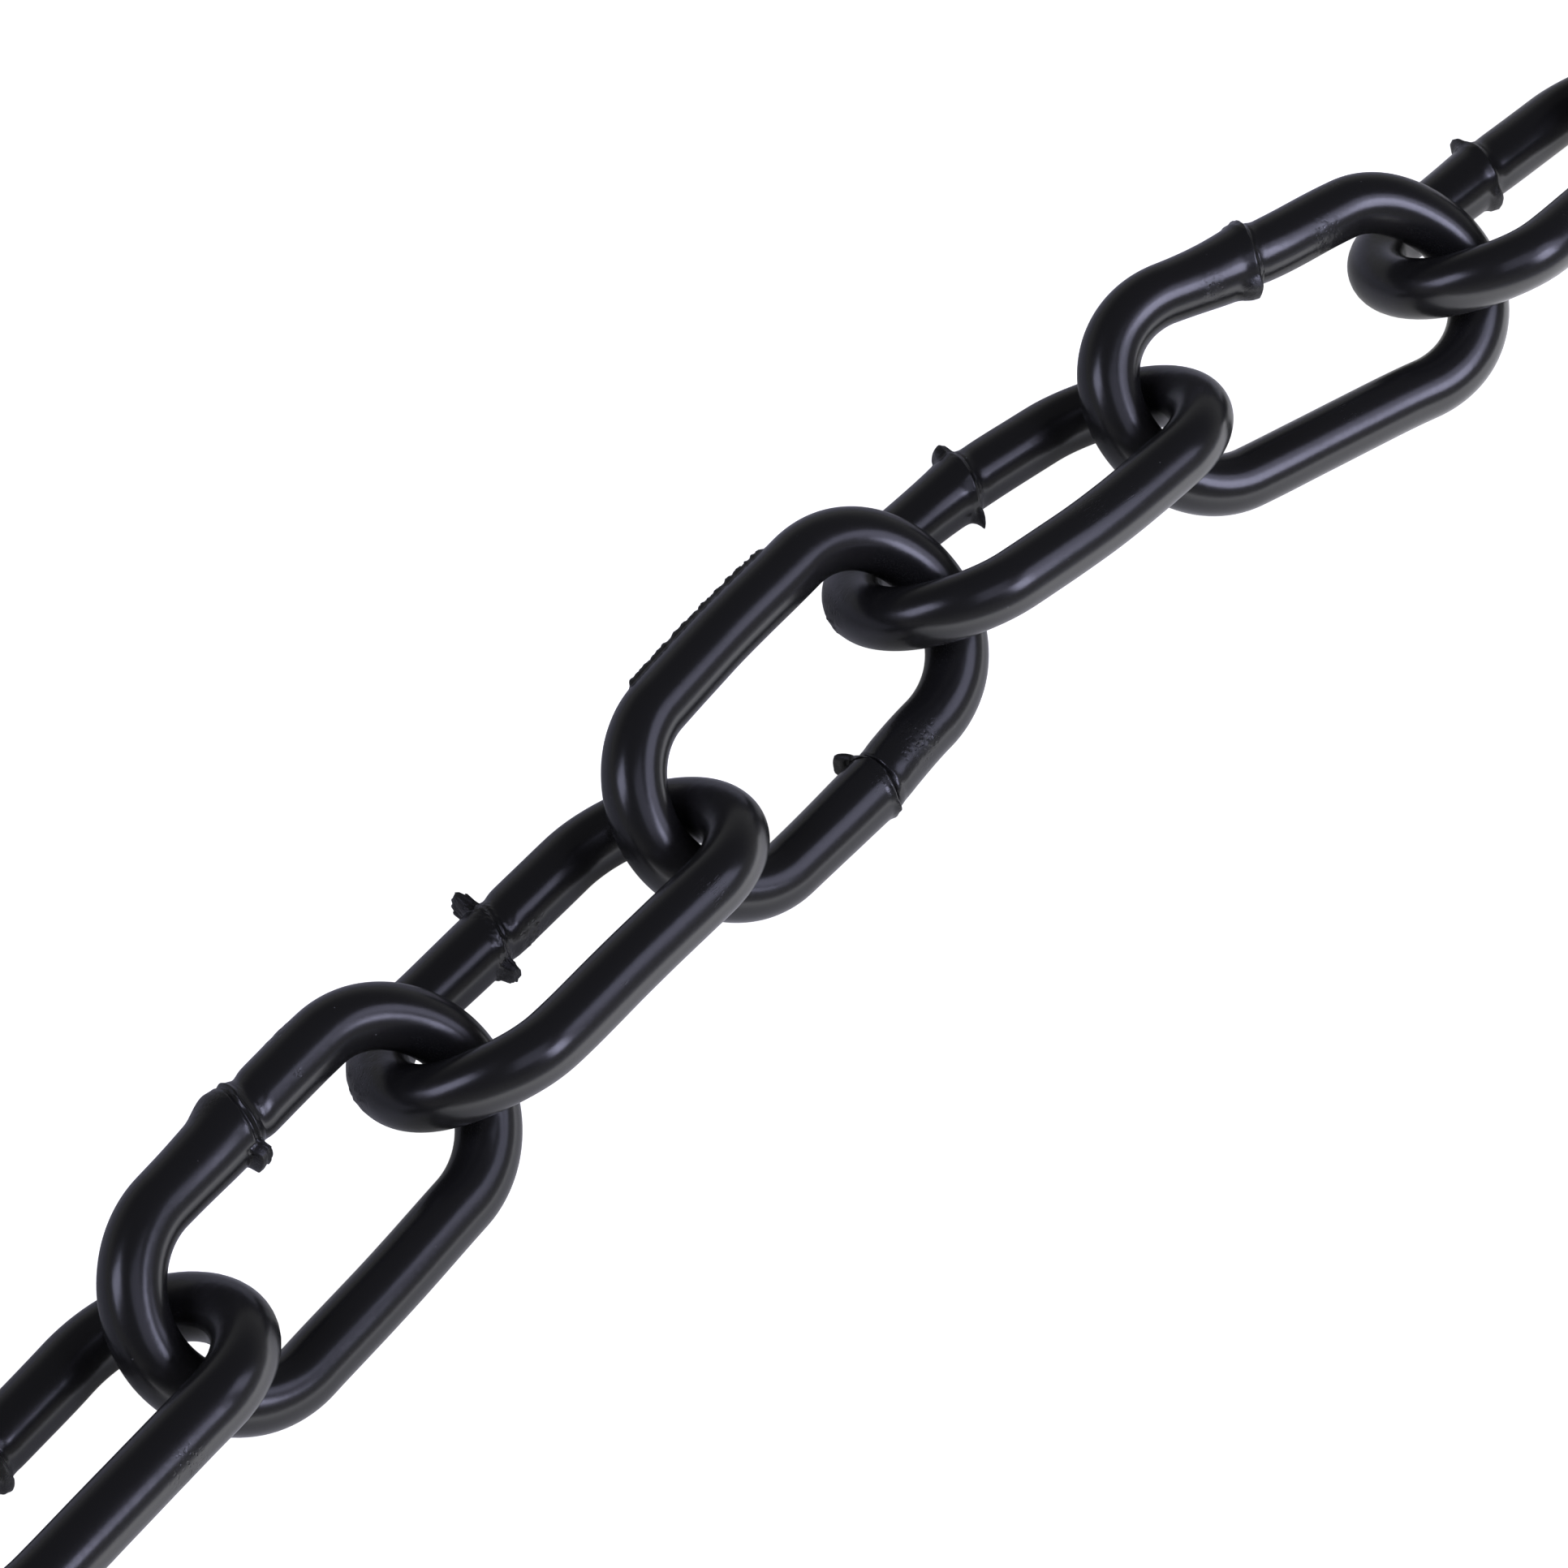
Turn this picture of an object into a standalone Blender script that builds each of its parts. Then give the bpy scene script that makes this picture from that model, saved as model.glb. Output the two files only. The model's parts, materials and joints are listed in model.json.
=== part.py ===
"""A length of black coated steel chain: round wire links, each an oval butt-welded in one leg.

Metres, +Z up. The chain lies on a level floor along +X, with the origin on the floor under the
middle of its box. Each link is one piece of wire, so it is one object. Its own X runs along it,
its Y across it and its Z square to its oval.
"""

import math

import bmesh
import bpy
from mathutils import Matrix, Vector

# The link, from its wire and the clear opening inside it
WIRE = 0.0060
INNER_LENGTH = 0.0350
INNER_WIDTH = 0.0135
LINK_COUNT = 29

# How the links lie: one leg on the floor, each link leaning the other way from its neighbour
LEAN = math.radians(35)
CROWN_GAP = 0.0006

# The gentle bend in plan: the headings in degrees from +X of the links that aren't straight
HEADINGS = {12: -0.5, 13: 0.5, 14: -2.0, 16: -9.0, 17: -19.0, 18: -8.5, 19: -2.0}

# The butt weld: one end of the wire is upset thicker than the other, a collar is pushed up
# between them, and flash is left standing out of the collar on its two sides
WELD_PLACE = 0.0010
UPSET_LENGTH = 0.0070
UPSET_RISE = 0.00020
COLLAR_HALF_LENGTH = 0.0012
COLLAR_RISE = 0.00035
FLASH_HALF_LENGTH = 0.0004
FLASH_RISE = 0.0012
# Every fifth link is turned over, so that its weld is in its right leg
TURNED_EVERY = 5

# How finely the wire is cut. The flash stands out level, on corners of the wire's section that are
# counted from the strip that a leg on the floor rests on
WIRE_SIDES = 12
CROWN_STEPS = 8
FLASH_ON_FLOOR_LEG = (2, 3, 8, 9)
FLASH_ON_RAISED_LEG = (0, 1, 6, 7)

COAT_COLOUR = (0.016, 0.016, 0.018, 1.0)
COAT_ROUGHNESS = 0.34

BEND_RADIUS = (INNER_WIDTH + WIRE) / 2
HALF_LEG = (INNER_LENGTH - INNER_WIDTH) / 2
HALF_LINK = (INNER_LENGTH + WIRE) / 2
CENTRE_HEIGHT = BEND_RADIUS * math.sin(LEAN) + WIRE / 2


def clear_scene():
    for thing in list(bpy.data.objects):
        bpy.data.objects.remove(thing, do_unlink=True)


def coat_material():
    material = bpy.data.materials.new("black_coat")
    material.use_nodes = True
    shader = material.node_tree.nodes["Principled BSDF"]
    shader.inputs["Base Color"].default_value = COAT_COLOUR
    shader.inputs["Roughness"].default_value = COAT_ROUGHNESS
    return material


def crown_path(end):
    """The half round at one end, as centre, outward direction, rise and flash of each ring.

    The rings between the legs stand a little outside the true bend, so that the straight pieces
    between them touch it and the opening keeps its size.
    """
    outside = BEND_RADIUS / math.cos(math.pi / CROWN_STEPS / 2)
    path = []
    for step in range(CROWN_STEPS + 1):
        angle = math.pi * (step / CROWN_STEPS - 0.5)
        outward = Vector((end * math.cos(angle), end * math.sin(angle), 0))
        reach = BEND_RADIUS if step in (0, CROWN_STEPS) else outside
        path.append((Vector((end * HALF_LEG, 0, 0)) + reach * outward, outward, 0, 0))
    return path


def weld_path():
    """The rings of the welded leg, on +Y: the plain leg, the collar with its flash, the upset leg."""
    stations = (
        (COLLAR_HALF_LENGTH, 0, 0),
        (FLASH_HALF_LENGTH, COLLAR_RISE, FLASH_RISE),
        (-FLASH_HALF_LENGTH, COLLAR_RISE, FLASH_RISE),
        (-COLLAR_HALF_LENGTH, UPSET_RISE, 0),
        (-UPSET_LENGTH, 0, 0),
    )
    outward = Vector((0, 1, 0))
    path = []
    for along, rise, flash in stations:
        path.append((Vector((WELD_PLACE + along, BEND_RADIUS, 0)), outward, rise, flash))
    return path


def link_mesh(name, turned, weld_on_floor):
    """The wire swept round its oval. One flat strip of its section faces the floor when the link leans.

    A weld in the leg that lies on the floor doesn't stand out of that strip.
    """
    path = crown_path(1) + weld_path() + crown_path(-1)
    hand = -1 if turned else 1
    flash_corners = FLASH_ON_FLOOR_LEG if weld_on_floor else FLASH_ON_RAISED_LEG
    corner_scale = 1 / math.cos(math.pi / WIRE_SIDES)
    mesh = bmesh.new()
    rings = []
    for centre, outward, rise, flash in path:
        ring = []
        for corner in range(WIRE_SIDES):
            turn = hand * (LEAN - math.pi / 2 + 2 * math.pi * (corner + 0.5) / WIRE_SIDES)
            spoke = outward * math.cos(turn) + Vector((0, 0, math.sin(turn)))
            radius = WIRE / 2
            if not (weld_on_floor and corner in (0, WIRE_SIDES - 1)):
                radius += rise
            if corner in flash_corners:
                radius += flash
            ring.append(mesh.verts.new(centre + spoke * radius * corner_scale))
        rings.append(ring)
    for ring, following in zip(rings, rings[1:] + rings[:1]):
        for corner in range(WIRE_SIDES):
            beside = (corner + 1) % WIRE_SIDES
            mesh.faces.new((ring[corner], ring[beside], following[beside], following[corner]))
    bmesh.ops.recalc_face_normals(mesh, faces=mesh.faces)
    data = bpy.data.meshes.new(name)
    mesh.to_mesh(data)
    mesh.free()
    data.shade_smooth()
    data.set_sharp_from_angle(angle=math.radians(40))
    return data


def link_directions(number):
    """The link's own axes as it lies: along the chain, across the oval, and square to it."""
    heading = math.radians(HEADINGS.get(number, 0.0))
    lean = LEAN if number % 2 else -LEAN
    return Matrix.Rotation(heading, 3, "Z") @ Matrix.Rotation(lean, 3, "X")


def link_frames():
    """Each link's place, worked out along the chain: neighbouring crowns hook with a small gap."""
    frames = []
    centre = Vector((0, 0, CENTRE_HEIGHT))
    last_along = None
    for number in range(1, LINK_COUNT + 1):
        axes = link_directions(number)
        along = axes.col[0].copy()
        if last_along is not None:
            between = (last_along + along).normalized()
            centre = centre + HALF_LINK * (last_along + along) - (WIRE + CROWN_GAP) * between
        frames.append((number, centre.copy(), axes))
        last_along = along
    return frames


def centre_on_origin(links):
    """Moves the chain so that the middle of its box is over the origin."""
    corners = [link.matrix_world @ vertex.co for link in links for vertex in link.data.vertices]
    middle = Vector((0, 0, 0))
    for axis in (0, 1):
        places = [corner[axis] for corner in corners]
        middle[axis] = (min(places) + max(places)) / 2
    for link in links:
        link.matrix_world = Matrix.Translation(-middle) @ link.matrix_world


def build_chain():
    material = coat_material()
    links = []
    for number, centre, axes in link_frames():
        name = f"link_{number:02d}"
        turned = number % TURNED_EVERY == 0
        left_leg_on_floor = number % 2 == 0
        link = bpy.data.objects.new(name, link_mesh(name, turned, left_leg_on_floor != turned))
        link.data.materials.append(material)
        turn_over = Matrix.Rotation(math.pi if turned else 0, 4, "X")
        link.matrix_world = Matrix.Translation(centre) @ axes.to_4x4() @ turn_over
        bpy.context.scene.collection.objects.link(link)
        links.append(link)
    centre_on_origin(links)
    return links


clear_scene()
build_chain()
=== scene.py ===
# %% [markdown]
# # A length of black coated steel chain
# The real chain is made of round wire links. Each link is bent to an oval, hooked through the one
# before it, butt-welded in one leg, and the finished run is dipped or sprayed black. This lesson
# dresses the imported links: one tree of Geometry Nodes draws a link with its weld, and every link
# gets its own copy with its own flaws.

import json
import math
import random

import bpy
from mathutils import Matrix, Vector


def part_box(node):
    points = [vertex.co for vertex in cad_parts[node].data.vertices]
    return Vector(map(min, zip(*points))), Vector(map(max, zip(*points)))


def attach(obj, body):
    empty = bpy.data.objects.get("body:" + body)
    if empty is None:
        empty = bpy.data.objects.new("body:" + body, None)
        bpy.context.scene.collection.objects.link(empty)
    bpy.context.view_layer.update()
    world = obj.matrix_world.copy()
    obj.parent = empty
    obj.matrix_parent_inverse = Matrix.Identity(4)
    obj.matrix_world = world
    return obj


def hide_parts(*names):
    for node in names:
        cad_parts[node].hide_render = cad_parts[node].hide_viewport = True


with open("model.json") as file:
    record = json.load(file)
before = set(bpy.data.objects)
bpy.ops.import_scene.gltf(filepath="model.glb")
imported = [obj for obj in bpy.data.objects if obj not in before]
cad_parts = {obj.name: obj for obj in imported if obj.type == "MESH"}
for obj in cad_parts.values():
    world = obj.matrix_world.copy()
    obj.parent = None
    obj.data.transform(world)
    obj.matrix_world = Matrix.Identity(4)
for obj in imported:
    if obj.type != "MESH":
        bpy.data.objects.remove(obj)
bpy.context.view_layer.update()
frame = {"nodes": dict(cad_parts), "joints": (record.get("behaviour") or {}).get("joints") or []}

# %% [markdown]
# ## Where the links lie
# A chain on a table rests each link on one leg, and neighbours lean opposite ways. The places
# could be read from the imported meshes, but a mesh doesn't say which way its link points. So they
# are worked out again from the link's own sizes, starting at a hinge of the frame, and then
# compared with the box of each packed link.

# %% Sizes of a link, in millimetres
WIRE = 6.0
INNER_LENGTH = 35.0
INNER_WIDTH = 13.5
CROWN_GAP = 0.6
LEAN = math.radians(35)
BEND_RADIUS = (INNER_WIDTH + WIRE) / 2
HALF_LEG = (INNER_LENGTH - INNER_WIDTH) / 2
HALF_LINK = (INNER_LENGTH + WIRE) / 2
LINK_COUNT = len(frame["nodes"])
MIDDLE_LINK = 15
TURNED_EVERY = 5
# Headings from +X in degrees, for the links in the gentle bend
HEADINGS = {12: -0.5, 13: 0.5, 14: -2.0, 16: -9.0, 17: -19.0, 18: -8.5, 19: -2.0}
MM = 0.001


# %% The place of every link
def link_name(number):
    return f"link_{number:02d}"


def link_axes(number):
    """The link's own axes as it lies: along the chain, across its oval, and square to the oval."""
    heading = math.radians(HEADINGS.get(number, 0.0))
    lean = LEAN if number % 2 else -LEAN
    return Matrix.Rotation(heading, 3, "Z") @ Matrix.Rotation(lean, 3, "X")


def step_between(number):
    """From the middle of one link to the middle of the next, in metres."""
    here = link_axes(number).col[0]
    following = link_axes(number + 1).col[0]
    between = (here + following).normalized()
    return (HALF_LINK * (here + following) - (WIRE + CROWN_GAP) * between) * MM


def link_centres():
    """Every link's middle, counted out from the hinge at the middle link's far crown."""
    hinges = {joint["name"]: joint for joint in frame["joints"]}
    pivot = Vector(hinges[f"swing_{MIDDLE_LINK}_{MIDDLE_LINK + 1}"]["pos_m"])
    centres = {MIDDLE_LINK: pivot - HALF_LINK * MM * link_axes(MIDDLE_LINK).col[0]}
    for number in range(MIDDLE_LINK, LINK_COUNT):
        centres[number + 1] = centres[number] + step_between(number)
    for number in range(MIDDLE_LINK, 1, -1):
        centres[number - 1] = centres[number] - step_between(number - 1)
    return centres


CENTRES = link_centres()


def is_turned(number):
    """Every fifth link lies turned over, with its weld in its right leg."""
    return number % TURNED_EVERY == 0


def weld_on_floor(number):
    return (number % 2 == 0) != is_turned(number)


def place_matrix(number):
    """From a link drawn flat in millimetres to the link where it lies, in metres."""
    turn_over = Matrix.Rotation(math.pi if is_turned(number) else 0, 4, "X")
    lying = Matrix.Translation(CENTRES[number]) @ link_axes(number).to_4x4()
    return lying @ turn_over @ Matrix.Scale(MM, 4)


offsets = []
for number in range(1, LINK_COUNT + 1):
    low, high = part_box(link_name(number))
    offsets.append(abs((low[0] + high[0]) / 2 - CENTRES[number].x) / MM)
print("largest distance from a packed link's middle, in mm:", round(max(offsets), 3))

# %% [markdown]
# ## Writing formulas as nodes
# Geometry Nodes and shader nodes share the same Math node. Placing dozens of them by hand hides
# what they work out, so a small class lets ordinary arithmetic lay them down: adding two terms
# adds a Math node and joins it up.


# %% Arithmetic that lays down Math nodes
def feed(tree, socket, value):
    """Joins a term to a socket, or sets the socket to a plain value."""
    if isinstance(value, Term):
        tree.links.new(value.socket, socket)
    else:
        socket.default_value = value


class Term:
    """A number or a vector on its way through a node tree."""

    def __init__(self, tree, socket):
        self.tree = tree
        self.socket = socket

    def math(self, operation, *others):
        node = self.tree.nodes.new("ShaderNodeMath")
        node.operation = operation
        for socket, value in zip(node.inputs, (self, *others)):
            feed(self.tree, socket, value)
        return Term(self.tree, node.outputs[0])

    def __add__(self, other):
        return self.math("ADD", other)

    def __sub__(self, other):
        return self.math("SUBTRACT", other)

    def __mul__(self, other):
        return self.math("MULTIPLY", other)

    def __truediv__(self, other):
        return self.math("DIVIDE", other)

    def __neg__(self):
        return self.math("MULTIPLY", -1.0)

    def __abs__(self):
        return self.math("ABSOLUTE")

    def sine(self):
        return self.math("SINE")

    def cosine(self):
        return self.math("COSINE")

    def sign(self):
        return self.math("SIGN")

    def least(self, other):
        return self.math("MINIMUM", other)

    def most(self, other):
        return self.math("MAXIMUM", other)

    def bell(self, width):
        """1 at zero, falling off to nothing over about two widths."""
        widths = self / width
        return (-(widths * widths)).math("EXPONENT")

    def ramp(self, low, high):
        """0 below low and 1 above high, smoothly. With low above high it falls instead."""
        node = self.tree.nodes.new("ShaderNodeMapRange")
        node.interpolation_type = "SMOOTHSTEP"
        for name, value in (("Value", self), ("From Min", low), ("From Max", high)):
            feed(self.tree, node.inputs[name], value)
        return Term(self.tree, node.outputs["Result"])


def vector_math(tree, operation, *values):
    """A Vector Math node. Dot products come out as a number, the rest as a vector."""
    node = tree.nodes.new("ShaderNodeVectorMath")
    node.operation = operation
    for socket, value in zip(node.inputs, values):
        feed(tree, socket, value)
    return Term(tree, node.outputs["Value" if operation == "DOT_PRODUCT" else "Vector"])


def scaled(vector, amount):
    """A vector times a number."""
    node = vector.tree.nodes.new("ShaderNodeVectorMath")
    node.operation = "SCALE"
    feed(vector.tree, node.inputs[0], vector)
    feed(vector.tree, node.inputs["Scale"], amount)
    return Term(vector.tree, node.outputs["Vector"])


def combined(tree, x, y, z):
    """A vector from its three parts."""
    node = tree.nodes.new("ShaderNodeCombineXYZ")
    for socket, value in zip(node.inputs, (x, y, z)):
        feed(tree, socket, value)
    return Term(tree, node.outputs[0])


def separated(vector):
    """The three parts of a vector."""
    node = vector.tree.nodes.new("ShaderNodeSeparateXYZ")
    feed(vector.tree, node.inputs[0], vector)
    return [Term(vector.tree, socket) for socket in node.outputs]


def noise(tree, place, size, detail, shift=None):
    """Smooth noise from about -1 to 1, whose features are about size across.

    A shift gives another noise at the same places.
    """
    node = tree.nodes.new("ShaderNodeTexNoise")
    feed(tree, node.inputs["Vector"], place)
    if shift is not None:
        node.noise_dimensions = "4D"
        feed(tree, node.inputs["W"], shift)
    node.inputs["Scale"].default_value = 1 / size
    node.inputs["Detail"].default_value = detail
    return (Term(tree, node.outputs[0]) - 0.5) * 2.0


# %% [markdown]
# ## The wire
# A link is one wire that runs round an oval. Curve primitives could be joined into that oval, but
# a weld needs stations packed tightly beside it and few elsewhere. So a circle's points are moved
# by a formula: the distance from the weld is stretched with a sine, and that distance is then
# laid off along straight leg, half round, straight leg, half round.

# %% The link's named sizes
LINK_INPUTS = {
    "Wire": WIRE,
    "Bend Radius": BEND_RADIUS,
    "Half Leg": HALF_LEG,
    "Crowding": 0.86,
    # How far the wire strays outward from a true oval, at eight places round it
    "Welded Leg": 0.0,
    "High Shoulder": 0.0,
    "High Crown": 0.0,
    "High Far Shoulder": 0.0,
    "Plain Leg": 0.0,
    "Low Far Shoulder": 0.0,
    "Low Crown": 0.0,
    "Low Shoulder": 0.0,
    "Waviness": 0.03,
    "Lean": 0.0,
    # The weld: where it is, how it slants, and how the two ends meet
    "Weld Place": 0.0,
    "Slant": 0.8,
    "Kink": 0.1,
    "Upset Rise": 0.22,
    "Upset Length": 6.5,
    "Neck Depth": 0.05,
    "Collar Rise": 0.28,
    "Collar Width": 0.75,
    "Groove Depth": 0.12,
    "Groove Place": 0.35,
    "Groove Width": 0.16,
    "Blisters": 0.05,
    # Two flakes of flash
    "Flake A Angle": 0.0,
    "Flake A Place": 0.0,
    "Flake A Lead": 0.35,
    "Flake A Height": 0.6,
    "Flake A Spread": 0.5,
    "Flake A Length": 0.8,
    "Flake A Flatness": 0.5,
    "Flake A Curl": 0.0,
    "Flake B Angle": math.pi,
    "Flake B Place": 0.0,
    "Flake B Lead": 0.35,
    "Flake B Height": 0.9,
    "Flake B Spread": 0.45,
    "Flake B Length": 0.8,
    "Flake B Flatness": 0.5,
    "Flake B Curl": 0.0,
    "Raggedness": 0.3,
    "Floor Angle": 0.0,
    "Floor Relief": 0.0,
    # A torn thread of coat along the plain leg
    "Burr Angle": 0.0,
    "Burr Height": 0.0,
    "Burr Place": -1.0,
    "Burr Half Length": 10.0,
    # Crumbs of scale under the coat, at the pitted spots
    "Crust": 0.2,
    "Seed": 0.0,
}
# Worn spots: each has a place on the link's surface and a size
SCUFFS = ("Scuff A", "Scuff B")
PITS = ("Pits A", "Pits B")
SPOTS = SCUFFS + PITS
SPOT_SIZE = 0.8
for spot in SPOTS:
    LINK_INPUTS[f"{spot} Size"] = SPOT_SIZE
print("sizes that a link's shape can be given:", len(LINK_INPUTS))


# %% Start of the tree: its inputs
def given_terms(tree):
    """A term for each of a tree's inputs, by its name."""
    source = tree.nodes.new("NodeGroupInput")
    given = {}
    for socket in source.outputs:
        if socket.name:
            given[socket.name] = Term(tree, socket)
    return given


def new_link_tree():
    """An empty tree with the link's inputs."""
    tree = bpy.data.node_groups.new("welded_link", "GeometryNodeTree")
    for name in ("Stations", "Around"):
        tree.interface.new_socket(name=name, in_out="INPUT", socket_type="NodeSocketInt")
    for name, value in LINK_INPUTS.items():
        socket = tree.interface.new_socket(name=name, in_out="INPUT", socket_type="NodeSocketFloat")
        socket.default_value = value
    for name in SPOTS:
        tree.interface.new_socket(name=name, in_out="INPUT", socket_type="NodeSocketVector")
    tree.interface.new_socket(name="Coat", in_out="INPUT", socket_type="NodeSocketMaterial")
    tree.interface.new_socket(name="Geometry", in_out="OUTPUT", socket_type="NodeSocketGeometry")
    return tree


# %% The centreline
WAY_ROUND = 4 * HALF_LEG + math.tau * BEND_RADIUS
CROWN_MIDDLE = HALF_LEG + BEND_RADIUS * math.pi / 2
EIGHTH = BEND_RADIUS * math.pi / 4
LEG_REACH = 9.0
CROWN_REACH = 6.5
# Each place as its distance along the wire from the middle of the welded leg, and its reach
STRAY_PLACES = (
    ("Welded Leg", 0.0, LEG_REACH),
    ("High Shoulder", CROWN_MIDDLE - EIGHTH, CROWN_REACH),
    ("High Crown", CROWN_MIDDLE, CROWN_REACH),
    ("High Far Shoulder", CROWN_MIDDLE + EIGHTH, CROWN_REACH),
    ("Plain Leg", WAY_ROUND / 2, LEG_REACH),
    ("Low Far Shoulder", -CROWN_MIDDLE - EIGHTH, CROWN_REACH),
    ("Low Crown", -CROWN_MIDDLE, CROWN_REACH),
    ("Low Shoulder", -CROWN_MIDDLE + EIGHTH, CROWN_REACH),
)
# How fast the kink at the weld fades, for each millimetre along the wire
KINK_FADE = 0.3


def stray(given, from_middle, along):
    """How far the wire lies outward from a true oval: the kink at the weld, and the named strays."""
    sway = given["Kink"] * (abs(along) * -KINK_FADE).math("EXPONENT")
    for name, place, reach in STRAY_PLACES:
        beside = (from_middle - place).math("WRAP", WAY_ROUND / 2, -WAY_ROUND / 2)
        sway = sway + given[name] * beside.bell(reach)
    return sway


def centreline(tree, given):
    """Moves a circle's points onto the oval, and hands on what each point knows of its place."""
    ring = tree.nodes.new("GeometryNodeCurvePrimitiveCircle")
    feed(tree, ring.inputs["Resolution"], given["Stations"])
    index = Term(tree, tree.nodes.new("GeometryNodeInputIndex").outputs[0])
    turn = index / given["Stations"] - 0.5
    radius, half_leg = given["Bend Radius"], given["Half Leg"]
    way_round = half_leg * 4.0 + radius * math.tau
    along = way_round * (turn - given["Crowding"] * (turn * math.tau).sine() / math.tau)
    from_middle = along + given["Weld Place"]
    side = from_middle.sign()
    bend = ((abs(from_middle) - half_leg) / radius).most(0.0).least(math.pi)
    run = abs(from_middle) - radius * bend
    x = side * (half_leg - abs(run - half_leg) + radius * bend.sine())
    out_x, out_y = side * bend.sine(), bend.cosine()
    sway = stray(given, from_middle, along)
    across, lean = sway * out_y, given["Lean"]
    centre = combined(
        tree,
        x + sway * out_x,
        radius * out_y + across * lean.cosine(),
        across * lean.sine(),
    )
    moved = tree.nodes.new("GeometryNodeSetPosition")
    tree.links.new(ring.outputs[0], moved.inputs["Geometry"])
    feed(tree, moved.inputs["Position"], centre)
    known = (
        ("along", "FLOAT", along),
        ("outward", "VECTOR", combined(tree, out_x, out_y, 0.0)),
        ("centre", "VECTOR", centre),
    )
    keep = tree.nodes.new("GeometryNodeCaptureAttribute")
    tree.links.new(moved.outputs[0], keep.inputs[0])
    kept = {}
    for name, kind, value in known:
        keep.capture_items.new(kind, name)
        feed(tree, keep.inputs[name], value)
        kept[name] = Term(tree, keep.outputs[name])
    return keep.outputs[0], kept


# %% Wire swept along the centreline
def swept_wire(tree, given, path):
    """The plain round wire. Its ends meet, because the path is closed."""
    section = tree.nodes.new("GeometryNodeCurvePrimitiveCircle")
    feed(tree, section.inputs["Resolution"], given["Around"])
    feed(tree, section.inputs["Radius"], given["Wire"] / 2.0)
    sweep = tree.nodes.new("GeometryNodeCurveToMesh")
    tree.links.new(path, sweep.inputs["Curve"])
    tree.links.new(section.outputs[0], sweep.inputs["Profile Curve"])
    return sweep.outputs[0]


# %% [markdown]
# ## The weld
# The two wire ends are pressed together white hot. One end swells, a collar is pushed up, and what
# is squeezed out stays as thin flash, which is knocked off roughly or left standing. All of it is
# a rise of the wire's surface that depends on the distance from the weld and the angle round the
# wire, so it is one formula. Sculpting it once and copying it would make every weld the same.


# %% One flake of flash
# How much of the tear's pattern shows round the wire, along it, and in the flake's height
TEAR_ROUND = 0.3
TEAR_ALONG = 0.5
TEAR_HEIGHT = 0.5


def wrapped(angle):
    """An angle brought between minus half a turn and half a turn."""
    return angle.math("WRAP", math.pi, -math.pi)


def flake(given, letter, across, angle, ragged):
    """Steep on the plain wire's side, and longer over the swollen end."""
    own = {}
    for name in ("Angle", "Place", "Lead", "Height", "Spread", "Length", "Flatness"):
        own[name] = given[f"Flake {letter} {name}"]
    tear = ragged * given["Raggedness"]
    away = abs(wrapped(angle - own["Angle"])) / own["Spread"]
    beside = across - own["Place"]
    edge = beside.most(0.0) / own["Lead"] + (-beside).most(0.0) / own["Length"]
    return (
        own["Height"]
        * (away + tear * TEAR_ROUND).ramp(1.0, own["Flatness"])
        * (edge + tear * TEAR_ALONG).ramp(1.0, own["Flatness"])
        * (tear * TEAR_HEIGHT + 1.0)
    )


# %% Rise of the surface at the weld
# Places and widths along the wire, in millimetres
SEAM_WANDER = 0.35
UPSET_EDGE = 0.25
NECK_PLACE = 1.1
NECK_WIDTH = 0.8
BLISTER_WIDTH = 0.9
# How far round the wire from the floor the weld is pressed flat, in radians
FLOOR_WIDTH = 0.8
# Sizes of the noises' features, for noise that is read along a spoke 1 long
SEAM_SIZE = 1.4
ROUGH_SIZE = 0.5
# The same for noise that is read on the surface, in millimetres
TEAR_SIZE = 0.45
BLISTER_SIZE = 0.3
# How uneven the collar and the groove are, as a share of their own size
ROUGH_COLLAR = 0.6
ROUGH_GROOVE = 0.8
# Each noise of a link starts at another place, so that no two are alike
ROUGH_SHIFT = 3.0
TEAR_SHIFT = 5.0
BLISTER_SHIFT = 7.0


def seam_rise(given, across, rough):
    """The swollen wire end, the collar and the groove in it, and the neck before them."""
    upset = given["Upset Rise"] * across.ramp(UPSET_EDGE, -UPSET_EDGE)
    upset = upset * across.least(0.0).bell(given["Upset Length"])
    neck = given["Neck Depth"] * (across - NECK_PLACE).bell(NECK_WIDTH)
    collar = given["Collar Rise"] * across.bell(given["Collar Width"]) * (rough * ROUGH_COLLAR + 1.0)
    groove = given["Groove Depth"] * (across - given["Groove Place"]).bell(given["Groove Width"])
    groove = groove * (rough * ROUGH_GROOVE + 1.0)
    return upset + collar - groove - neck


def weld_rise(tree, given, along, angle, spoke, base):
    """The weld's height over the plain wire, and the part of it that is flash."""
    seed = given["Seed"]
    slant = given["Slant"] * (angle - given["Flake B Angle"]).cosine()
    across = along + slant - noise(tree, spoke, SEAM_SIZE, detail=1.0, shift=seed) * SEAM_WANDER
    rough = noise(tree, spoke, ROUGH_SIZE, detail=2.0, shift=seed + ROUGH_SHIFT)
    seam = seam_rise(given, across, rough)
    ragged = noise(tree, base, TEAR_SIZE, detail=3.0, shift=seed + TEAR_SHIFT)
    flake_a = flake(given, "A", across, angle, ragged)
    flake_b = flake(given, "B", across, angle, ragged)
    bubbles = noise(tree, base, BLISTER_SIZE, detail=2.0, shift=seed + BLISTER_SHIFT)
    blisters = given["Blisters"] * across.bell(BLISTER_WIDTH) * bubbles
    near_floor = wrapped(angle - given["Floor Angle"]).bell(FLOOR_WIDTH)
    left = near_floor * given["Floor Relief"] * -1.0 + 1.0
    return (seam + blisters + flake_a + flake_b) * left, flake_a, flake_b


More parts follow.
